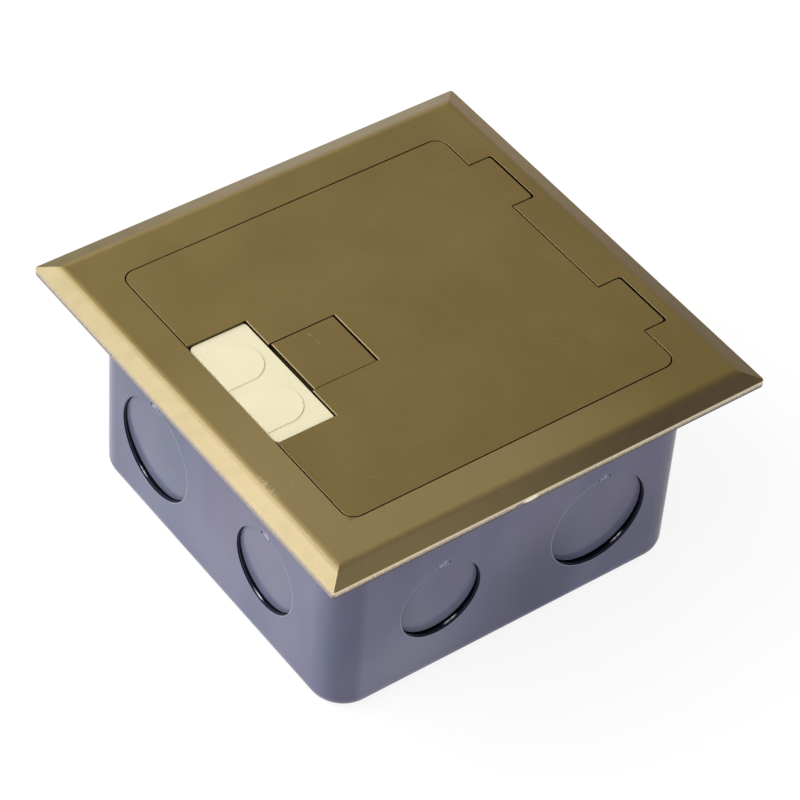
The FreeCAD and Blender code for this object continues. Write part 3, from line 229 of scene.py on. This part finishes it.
SCUFF = ((0.0274, -0.0547, TOP), (0.0054, 0.0011, 0.0020))              # centre and radii, on the front bevel
BRIGHT_GAP = ((-LID, -0.030, TOP - 0.0007), (0.002, 0.020, 0.004))      # where the painted shade in the lid's gap is faint
TAB_KNUCKLE = (                 # corners of the tab's pivot end, whose sides get no painted shade
    (TAB_LOW.x - 0.0003, TAB_HIGH.y - 0.0017, TOP - 0.0014),
    (TAB_HIGH.x + 0.0003, TAB_HIGH.y - 0.00003, TOP + 0.0003))


def brass_flat(s, place, brush):
    """Colour of the upper face: blotched and brushed, and paler on the frame's front and right flats, a
    painted sheen.
    """
    blotch = s.span(s.noise(34.0, 4.0, 0.6), 0.30, 0.72)
    colour = s.blend(blotch, rgb(0.378, 0.277, 0.100), rgb(0.430, 0.319, 0.122))
    colour = s.blend(s.span(brush, 0.3, 0.7, 0.0, 0.04), colour, rgb(0.54, 0.41, 0.18))
    # painted reflection: the frame's front and right flats are made paler, as a sheen
    front = s.product(s.below(place["Y"], -FRAME_FLAT, 0.0003), s.span(place["X"], -0.040, 0.030))
    right = s.product(s.above(place["X"], FRAME_FLAT, 0.0003), s.span(place["Y"], 0.045, -0.010))
    return s.blend(s.most(front, right), colour, rgb(0.550, 0.420, 0.190))


def brass_bevel(s, place, normal):
    """Colour of the mitred bevel, whose four sides each run from one tone to another: painted light and
    reflection, by how the light falls on each side.
    """
    colour = rgb(0.396, 0.330, 0.195)
    # painted light and reflection: each side of the bevel gets its own lit or shaded tones
    for facing, side, along, low_tone, high_tone, start, end in BEVEL_LIGHT_TONES:
        tone = s.blend(s.span(place[along], start, end), rgb(*low_tone), rgb(*high_tone))
        colour = s.blend(s.span(normal[facing], 0.15 * side, 0.30 * side), colour, tone)
    return s.blend(s.span(s.noise(210.0, 4.0), 0.3, 0.7, 0.0, 0.10), colour, rgb(0.60, 0.50, 0.30))


def brass_rim(s, place, normal):
    """Colour of the frame's sawn rim: two bands, a dotted line, a dark foot of painted shade and two marks.
    """
    z = place["Z"]
    colour = s.blend(s.above(z, RIM_SPLIT, 0.0003), rgb(0.40, 0.335, 0.285), rgb(0.60, 0.535, 0.400))
    dots = s.span(s.noise((1500.0, 1500.0, 1100.0), 2.0), 0.38, 0.60)
    line = s.product(s.above(z, RIM_LINE[0], 0.0002), s.below(z, RIM_LINE[1], 0.0002))
    colour = s.blend(s.product(line, dots, 0.65), colour, rgb(0.20, 0.16, 0.11))
    # painted shade: the shadow line along the rim's foot, strongest on the sides facing X
    foot_shade = s.product(s.below(z, RIM_FOOT_SHADE, 0.00013), s.span(s.absolute(normal["X"]), 0.3, 0.7, 0.15, 0.9))
    colour = s.blend(foot_shade, colour, rgb(0.035, 0.028, 0.024))
    for centre, radii, tone in RIM_MARKS:
        colour = s.blend(s.product(s.spot(centre, radii, core=0.5), 0.85), colour, rgb(*tone))
    return colour


def brass_marks(s):
    """Mask of the scratches on the lid and the frame, and of the scuff on the front bevel."""
    marks = []
    for x, y, length, width, angle, strength in SCRATCHES:
        scratch = s.spot((x, y, TOP), (length / 2, width / 2, SCRATCH_DEPTH), angle)
        marks.append(s.product(scratch, strength))
    nicks = s.span(s.noise((1900.0, 900.0, 800.0), 2.0, 0.6), 0.50, 0.60)
    marks.append(s.product(s.spot(*SCUFF, core=0.3), nicks, 0.70))
    return s.product(s.most(*marks), s.span(s.noise(4200.0, 1.0), 0.30, 0.55, 0.35, 1.0))


def brass():
    s = Shader("brass")
    place, normal = s.place_and_normal()
    up = normal["Z"]
    edge, soft = s.edge(radius=0.00007)
    flat = s.span(up, 0.950, 0.992)                   # masks by the face's tilt, then by its place
    upright = s.below(s.absolute(up), 0.35, 0.10)
    sloped = s.product(s.above(up, 0.56, 0.04), s.below(up, 0.84, 0.04))
    outside = s.above(s.most(s.absolute(place["X"]), s.absolute(place["Y"])), RIM - 0.0010, 0.0002)
    knuckle = s.within(*TAB_KNUCKLE, soft=0.00002)
    # painted shade: the upright walls of the gaps round the lid and the tab
    gap_shade = s.product(upright, s.inverse(s.most(outside, knuckle)))
    shaded_chamfers = s.product(sloped, s.inverse(outside))    # the fine chamfers of the lid, the tab and their gaps, darkened as painted shade
    grain = s.noise(2600.0, 2.0, 0.6)
    brush = s.noise((60.0, 1500.0, 60.0), 2.0)
    marks = brass_marks(s)

    colour = s.blend(flat, brass_bevel(s, place, normal), brass_flat(s, place, brush))
    colour = s.blend(s.product(upright, outside), colour, brass_rim(s, place, normal))
    # painted shade on the fine chamfers at the gaps
    colour = s.blend(s.product(shaded_chamfers, 0.65), colour, rgb(0.20, 0.15, 0.07))
    # painted shade in those gaps, faint in one stretch of the lid's gap
    dark = s.mix(s.spot(*BRIGHT_GAP, core=0.4), 0.85, 0.10)
    colour = s.blend(s.product(gap_shade, dark), colour, rgb(0.085, 0.055, 0.016))
    colour = s.blend(s.product(edge, 0.25), colour, rgb(0.66, 0.55, 0.32))
    colour = s.blend(marks, colour, rgb(0.90, 0.80, 0.56))

    polish = s.span(s.noise(300.0, 3.0), 0.3, 0.7, 0.24, 0.27)
    rough = s.mix(flat, polish, s.span(grain, 0.3, 0.7, 0.33, 0.42))
    rough = s.mix(s.most(upright, marks), rough, 0.42)
    s.set(Base_Color=colour, Metallic=1.0, Roughness=rough, Coat_Weight=0.10, Coat_Roughness=0.25)
    height = s.product(s.math("ADD", grain, s.product(brush, 0.2)), s.mix(flat, 0.25, 1.0))
    s.bump(height, distance=0.0000014, normal=soft)
    return s.material


# ---------------------------------------------------------------- painted box
KNOCKOUTS = [(mount["pos_m"], mount["dims"]["r_mm"] / 1000)       # of the -Y wall: centre and radius
             for mount in frame["record"]["mounts"] if mount["name"].endswith("knockout")]
LIP_HIGHLIGHT_DEPTH = 0.040                                     # how far through the wall the mask of a lip's painted highlight reaches
CUT_LOW, CUT_HIGH = 0.0090, 0.0394                    # the sheared faces lie between these heights,
CUT_FACE = WALL - 0.0028                              # outside this depth of their wall
CUT_END = WALL - 0.0115                               # and within this distance of its middle
HIGHLIGHT_LINE_DEPTH = 0.00045                                 # painted highlight: a pale hairline in the sheared faces, in from the wall
GLINT_Y = (0.0024, 0.00025, 0.0024)                   # radii of a glint in a Y wall and in an X wall
GLINT_X = (0.00032, 0.0024, 0.0024)
GLINTS = (                      # in the sheared faces of the -Y and +X walls, and on the walls opposite
    ((-0.0293, -WALL + 0.00055, 0.0123), GLINT_Y),
    ((0.01885, -WALL + 0.00055, 0.0138), GLINT_Y),
    ((WALL - 0.0010, 0.0314, 0.0136), GLINT_X),
    ((WALL - 0.0009, -0.0172, 0.0143), GLINT_X))
PAINTED_REFLECTIONS = (                      # painted reflections and shade: dull and bright patches on the same walls: centre, radii, tone and strength
    ((WALL, 0.006, 0.015), (0.008, 0.019, 0.024), (0.078, 0.080, 0.138), 0.55),
    ((WALL, 0.036, 0.015), (0.008, 0.017, 0.020), (0.078, 0.080, 0.138), 0.42),
    ((WALL, -0.029, 0.009), (0.008, 0.024, 0.019), (0.245, 0.250, 0.350), 0.75),
    ((-0.010, -WALL, 0.012), (0.038, 0.008, 0.015), (0.235, 0.245, 0.345), 0.28))
CROWNS = ((-0.0236, 0.0380), (0.0214, 0.0359))        # struck marks above the knockouts of the -Y wall: x, z


def both_sides(centre):
    """A place on the box, and where half a turn about Z takes it."""
    x, y, z = centre
    return (x, y, z), (-x, -y, z)


def wall_places(x, z, along, deep, high):
    """A place of the -Y wall on each wall: its centre and radii, and the axis and side that x runs to."""
    for turn in (1, -1):
        yield (turn * x, -turn * WALL, z), (along, deep, high), "X", turn
        yield (turn * WALL, -turn * x, z), (deep, along, high), "Y", -turn


def knockout_lip_highlights(s):
    """Mask of a painted highlight on the rolled lip round each knockout, on the side where the struck disc
    hides its gap.
    """
    lip_highlights = []
    for (x, _, z), radius in KNOCKOUTS:
        for centre, radii, axis, side in wall_places(x, z, radius, LIP_HIGHLIGHT_DEPTH, radius):
            vector, reach = s.local(centre, radii)
            ring = s.span(s.absolute(s.math("SUBTRACT", reach, 1.0)), 0.006, 0.024, 1.0, 0.0)
            lip_highlights.append(s.product(ring, s.span(s.split(vector)[axis], -0.2 * side, 0.5 * side)))
    return s.most(*lip_highlights)


def sheared_faces(s, place, normal):
    """Mask of the sheared faces round the knockouts, which don't face the way their wall does."""
    level = s.product(s.above(place["Z"], CUT_LOW, 0.0002), s.below(place["Z"], CUT_HIGH, 0.0002))
    faces = []
    for facing, along in (("X", "Y"), ("Y", "X")):
        outer = s.above(s.absolute(place[facing]), CUT_FACE, 0.0002)
        flat_wall = s.below(s.absolute(place[along]), CUT_END, 0.0002)
        turned = s.span(s.absolute(normal[facing]), 0.55, 0.80, 1.0, 0.0)
        faces.append(s.product(outer, flat_wall, turned))
    return s.product(s.most(*faces), level)


def glint_mask(s):
    """Mask of the bright flecks where the sheared faces catch the light."""
    glints = [s.spot(centre, radii, core=0.4) for first, radii in GLINTS for centre in both_sides(first)]
    return s.product(s.most(*glints), s.span(s.noise(900.0, 2.0), 0.30, 0.55, 0.25, 1.0))


def crown_mask(s):
    """Mask of the rubbed marks above the knockouts."""
    crowns = []
    for x, z in CROWNS:
        for centre, radii, *_ in wall_places(x, z, 0.0028, 0.0015, 0.0020):
            crowns.append(s.spot(centre, radii, core=0.2))
    rub = s.span(s.noise((1300.0, 1300.0, 900.0), 3.0, 0.7), 0.46, 0.58)
    return s.product(s.most(*crowns), rub)


def coat_colour(s):
    """Colour of the coat: grey-blue in two slow noises, with clouds of painted reflection and shade over
    them.
    """
    tint = s.span(s.noise((42.0, 42.0, 16.0), 2.0), 0.34, 0.66)
    colour = s.blend(tint, rgb(0.128, 0.138, 0.228), rgb(0.178, 0.182, 0.278))
    hue = s.span(s.noise((75.0, 75.0, 30.0), 2.0), 0.42, 0.70, 0.0, 0.55)
    colour = s.blend(hue, colour, rgb(0.172, 0.150, 0.248))
    # painted reflections and shade: dull and bright patches laid on the coat
    for first, radii, tone, strength in PAINTED_REFLECTIONS:
        for centre in both_sides(first):
            colour = s.blend(s.product(s.spot(centre, radii, core=0.1), strength), colour, rgb(*tone))
    return colour


def box_steel():
    s = Shader("box_steel")
    place, normal = s.place_and_normal()
    edge, soft = s.edge(radius=0.00022)
    across_x, across_y = s.absolute(place["X"]), s.absolute(place["Y"])
    sheared = sheared_faces(s, place, normal)
    crowns = crown_mask(s)
    # painted shade: the box's upright corners are darkened
    corner_shade = s.product(s.above(across_x, WALL - 0.0045, 0.0020), s.above(across_y, WALL - 0.0070, 0.0015))
    depth = s.math("SUBTRACT", WALL, s.most(across_x, across_y))
    highlight_line = s.span(s.absolute(s.math("SUBTRACT", depth, HIGHLIGHT_LINE_DEPTH)), 0.00005, 0.00014, 0.75, 0.0)

    colour = coat_colour(s)
    colour = s.blend(s.product(corner_shade, 0.42), colour, rgb(0.055, 0.056, 0.100))
    colour = s.blend(s.product(edge, 0.25), colour, rgb(0.30, 0.31, 0.40))
    # painted highlight on the lip round each knockout
    colour = s.blend(s.product(knockout_lip_highlights(s), 0.55), colour, rgb(0.44, 0.45, 0.56))
    # painted shade: the sheared faces round the knockouts are made near-black
    colour = s.blend(sheared, colour, rgb(0.004, 0.005, 0.012))
    # painted highlight: a pale hairline in the dark sheared faces
    colour = s.blend(s.product(sheared, highlight_line), colour, rgb(0.085, 0.090, 0.140))
    colour = s.blend(s.product(sheared, glint_mask(s)), colour, rgb(0.90, 0.92, 0.98))
    colour = s.blend(s.product(crowns, 0.85), colour, rgb(0.55, 0.56, 0.70))

    rough = s.mix(crowns, s.span(s.noise(90.0, 3.0), 0.3, 0.7, 0.17, 0.23), 0.5)
    s.set(Base_Color=colour, Metallic=0.0, Roughness=rough, Specular_IOR_Level=0.17,
          Coat_Weight=0.02, Coat_Roughness=0.06)
    s.bump(s.noise(160.0, 2.0), distance=0.000004, normal=soft)
    return s.material


# ---------------------------------------------------------------- plastics and metals
TAB_RECESS_SHADE = ((TAB_LOW.x - 0.0009, TAB_LOW.y - 0.0010, TOP - 0.0028),        # painted shade on the floor of the finger recess
              (TAB_HIGH.x + 0.0007, TAB_HIGH.y + 0.0003, TOP - 0.0020))
RECESS_SHADE_TONE = rgb(0.055, 0.042, 0.018)
PLASTICS = {                    # grain is its number per metre and its height
    "ivory_plastic": dict(dark=(0.900, 0.835, 0.575), light=(0.930, 0.870, 0.620), roughness=0.38,
                          grain=(1500.0, 0.000003), shade=TAB_RECESS_SHADE),
    "tray_plastic": dict(dark=(0.020, 0.020, 0.022), light=(0.030, 0.030, 0.032), roughness=0.48,
                         grain=(2600.0, 0.00001)),
    "module_plastic": dict(dark=(0.74, 0.73, 0.68), light=(0.78, 0.77, 0.72), roughness=0.30,
                           grain=(1400.0, 0.000003), coat=0.2),
    "inner_plastic": dict(dark=(0.30, 0.30, 0.29), light=(0.36, 0.36, 0.34), roughness=0.50,
                          grain=(1800.0, 0.000006)),
    "shutter_plastic": dict(dark=(0.62, 0.12, 0.03), light=(0.68, 0.15, 0.04), roughness=0.36,
                            grain=(1500.0, 0.000003)),
    "jack_plastic": dict(dark=(0.022, 0.022, 0.024), light=(0.034, 0.034, 0.036), roughness=0.40,
                         grain=(2000.0, 0.000005)),
    "seal_rubber": dict(dark=(0.010, 0.010, 0.010), light=(0.018, 0.018, 0.018), roughness=0.68,
                        grain=(2400.0, 0.000012), gloss=0.15),
    "foam": dict(dark=(0.018, 0.018, 0.019), light=(0.034, 0.034, 0.035), roughness=0.85,
                 grain=(3200.0, 0.00005)),
}
METALS = {                      # dark and light tone, roughness from and to, grain per metre along X, Y and Z
    "zinc_steel": ((0.52, 0.53, 0.55), (0.66, 0.67, 0.68), (0.22, 0.36), (900.0, 900.0, 240.0)),
    "spring_steel": ((0.40, 0.41, 0.43), (0.52, 0.53, 0.55), (0.20, 0.30), (700.0, 700.0, 700.0)),
    "contact_bronze": ((0.55, 0.33, 0.15), (0.66, 0.42, 0.20), (0.22, 0.36), (300.0, 2600.0, 300.0)),
    "contact_gold": ((0.78, 0.56, 0.20), (0.86, 0.64, 0.26), (0.15, 0.24), (600.0, 600.0, 600.0)),
}


def plastic(name, dark, light, roughness, grain, coat=0.0, gloss=0.5, shade=None):
    """A moulding whose edges are worn pale. Within the corners of shade it is painted dark, as shade."""
    s = Shader(name)
    edge, soft = s.edge(radius=0.00012)
    colour = s.blend(s.span(s.noise(90.0, 4.0, 0.55), 0.3, 0.7), rgb(*dark), rgb(*light))
    worn = [min(1.0, level * 1.25 + 0.03) for level in light]
    colour = s.blend(s.product(edge, 0.35), colour, rgb(*worn))
    if shade:
        # painted shade on the floor under the tab
        colour = s.blend(s.within(*shade), colour, RECESS_SHADE_TONE)
    rough = s.span(s.noise(260.0, 3.0), 0.3, 0.7, roughness - 0.05, roughness + 0.05)
    s.set(Base_Color=colour, Roughness=rough, Coat_Weight=coat, Coat_Roughness=0.15, Specular_IOR_Level=gloss)
    grain_scale, grain_height = grain
    s.bump(s.noise(grain_scale, 2.0), distance=grain_height, normal=soft)
    return s.material


def metal(name, dark, light, roughness, stretch):
    """A plated or rolled metal with stretched grain and brighter edges."""
    s = Shader(name)
    edge, soft = s.edge(radius=0.00015)
    grain = s.noise(stretch, 3.0, 0.6)
    colour = s.blend(s.span(s.noise(150.0, 4.0), 0.3, 0.7), rgb(*dark), rgb(*light))
    bright = [min(1.0, level * 1.2) for level in light]
    colour = s.blend(s.product(edge, 0.4), colour, rgb(*bright))
    s.set(Base_Color=colour, Metallic=1.0, Roughness=s.span(grain, 0.25, 0.75, *roughness))
    s.bump(grain, distance=0.000003, normal=soft)
    return s.material


finishes = {"brass": brass(), "box_steel": box_steel()}
for name, look in METALS.items():
    finishes[name] = metal(name, *look)
for name, look in PLASTICS.items():
    finishes[name] = plastic(name, **look)
for part in frame["record"]["subparts"]:
    for material_slot in nodes[part["node"]].material_slots:
        material_slot.material = finishes[part["material_slot"]]


# ---------------------------------------------------------------- springs
for joint in frame["record"]["behaviour"]["joints"]:
    for spring in joint.get("deforming_nodes", ()):
        coil = nodes[spring["node"]]
        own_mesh(coil)


# ---------------------------------------------------------------- floor, light and camera
WHITE = rgb(1.0, 1.0, 1.0)
FLOOR_HALF = 6.0                                      # half a side
FLOOR_DROP = 0.0002                                   # below the box's base
FLOOR_LIT, FLOOR_SEEN = 0.80, 0.20                    # its grey for bounced light, and to the camera
FLOOR_GLOW = 0.86                                     # its own light to the camera
FLOOR_GLOW_MIRRORED = 0.45                            # and in glossy and clear surfaces
SKY_RISE = (0.30, 1.10, 1.05, 0.10)                   # upward look: from, to, and the sky's strength at each
SKY_DEPTH = (0.0, 1.0, 1.0, 0.25)                     # the same for a look towards +Y
SKY_WARM = rgb(1.0, 0.94, 0.83)                       # tint where the sky is weak
SOFTBOXES = {                   # way to the lamp, distance, width, height, watts
    "key": ((-0.62, -0.38, 0.69), 1.5, 1.2, 1.2, 8.5),
    "fill": ((-0.05, -0.60, 0.80), 1.4, 1.0, 0.8, 7.0),
}
AZIMUTH, ELEVATION, ROLL = 50.68, 44.94, 4.83         # camera angles
CAMERA_PLACE = (0.4481, -0.3642, 0.6107)
CAMERA_LENS, CAMERA_SENSOR = 157.05, 36.0             # both in millimetres, as Blender has them


def floor():
    corners = [(x * FLOOR_HALF, y * FLOOR_HALF, 0.0) for x, y in ((-1, -1), (1, -1), (1, 1), (-1, 1))]
    mesh = bpy.data.meshes.new("floor")
    mesh.from_pydata(corners, [], [(0, 1, 2, 3)])
    piece = bpy.data.objects.new("floor", mesh)
    bpy.context.scene.collection.objects.link(piece)
    piece.location.z = cad_low.z - FLOOR_DROP
    s = Shader("floor")
    path = s.node("ShaderNodeLightPath").outputs
    seen = path["Is Camera Ray"]
    mirrored = s.most(path["Is Glossy Ray"], path["Is Transmission Ray"])
    grey = s.blend(seen, rgb(*[FLOOR_LIT] * 3), rgb(*[FLOOR_SEEN] * 3))
    glow = s.mix(seen, s.product(mirrored, FLOOR_GLOW_MIRRORED), FLOOR_GLOW)
    s.set(Base_Color=grey, Roughness=0.9, Specular_IOR_Level=0.0)
    s.set(Emission_Color=WHITE, Emission_Strength=glow)
    mesh.materials.append(s.material)


def surroundings():
    """White sky that fades to a warm grey above and towards +Y. Camera rays see plain white."""
    world = bpy.data.worlds.new("studio")
    bpy.context.scene.world = world
    world.use_nodes = True
    s = Graph(world.node_tree)
    sky = s.tree.nodes["Background"]
    look = s.split(s.texture["Generated"])
    level = s.product(s.span(look["Z"], *SKY_RISE), s.span(look["Y"], *SKY_DEPTH))
    strength = s.mix(s.node("ShaderNodeLightPath").outputs["Is Camera Ray"], level, 1.0)
    s.feed(sky.inputs["Strength"], strength)
    s.feed(sky.inputs["Color"], s.blend(strength, SKY_WARM, WHITE))


def softbox(name, way, distance, width, height, watts):
    lamp = bpy.data.lights.new(name, "AREA")
    lamp.shape = "RECTANGLE"
    lamp.size, lamp.size_y, lamp.energy = width, height, watts
    piece = bpy.data.objects.new(name, lamp)
    bpy.context.scene.collection.objects.link(piece)
    way = Vector(way).normalized()
    piece.location = way * distance
    piece.rotation_mode = "QUATERNION"
    piece.rotation_quaternion = way.to_track_quat("Z", "Y")


def camera():
    """Camera turned by its azimuth and elevation, then rolled about its own view."""
    azimuth, elevation, roll = (math.radians(angle) for angle in (AZIMUTH, ELEVATION, ROLL))
    forward = Vector((-math.sin(azimuth) * math.cos(elevation),
                      math.cos(azimuth) * math.cos(elevation),
                      -math.sin(elevation)))
    right = forward.cross(Vector((0, 0, 1))).normalized()
    up = right.cross(forward)
    turned_right = right * math.cos(roll) + up * math.sin(roll)
    turned_up = up * math.cos(roll) - right * math.sin(roll)
    data = bpy.data.cameras.new("camera")
    data.lens, data.sensor_width = CAMERA_LENS, CAMERA_SENSOR
    piece = bpy.data.objects.new("camera", data)
    bpy.context.scene.collection.objects.link(piece)
    axes = Matrix((turned_right, turned_up, -forward)).transposed().to_4x4()
    piece.matrix_world = Matrix.Translation(CAMERA_PLACE) @ axes
    bpy.context.scene.camera = piece


floor()
surroundings()
for name, lamp in SOFTBOXES.items():
    softbox(name, *lamp)
camera()
bpy.context.scene.view_settings.view_transform = "Standard"
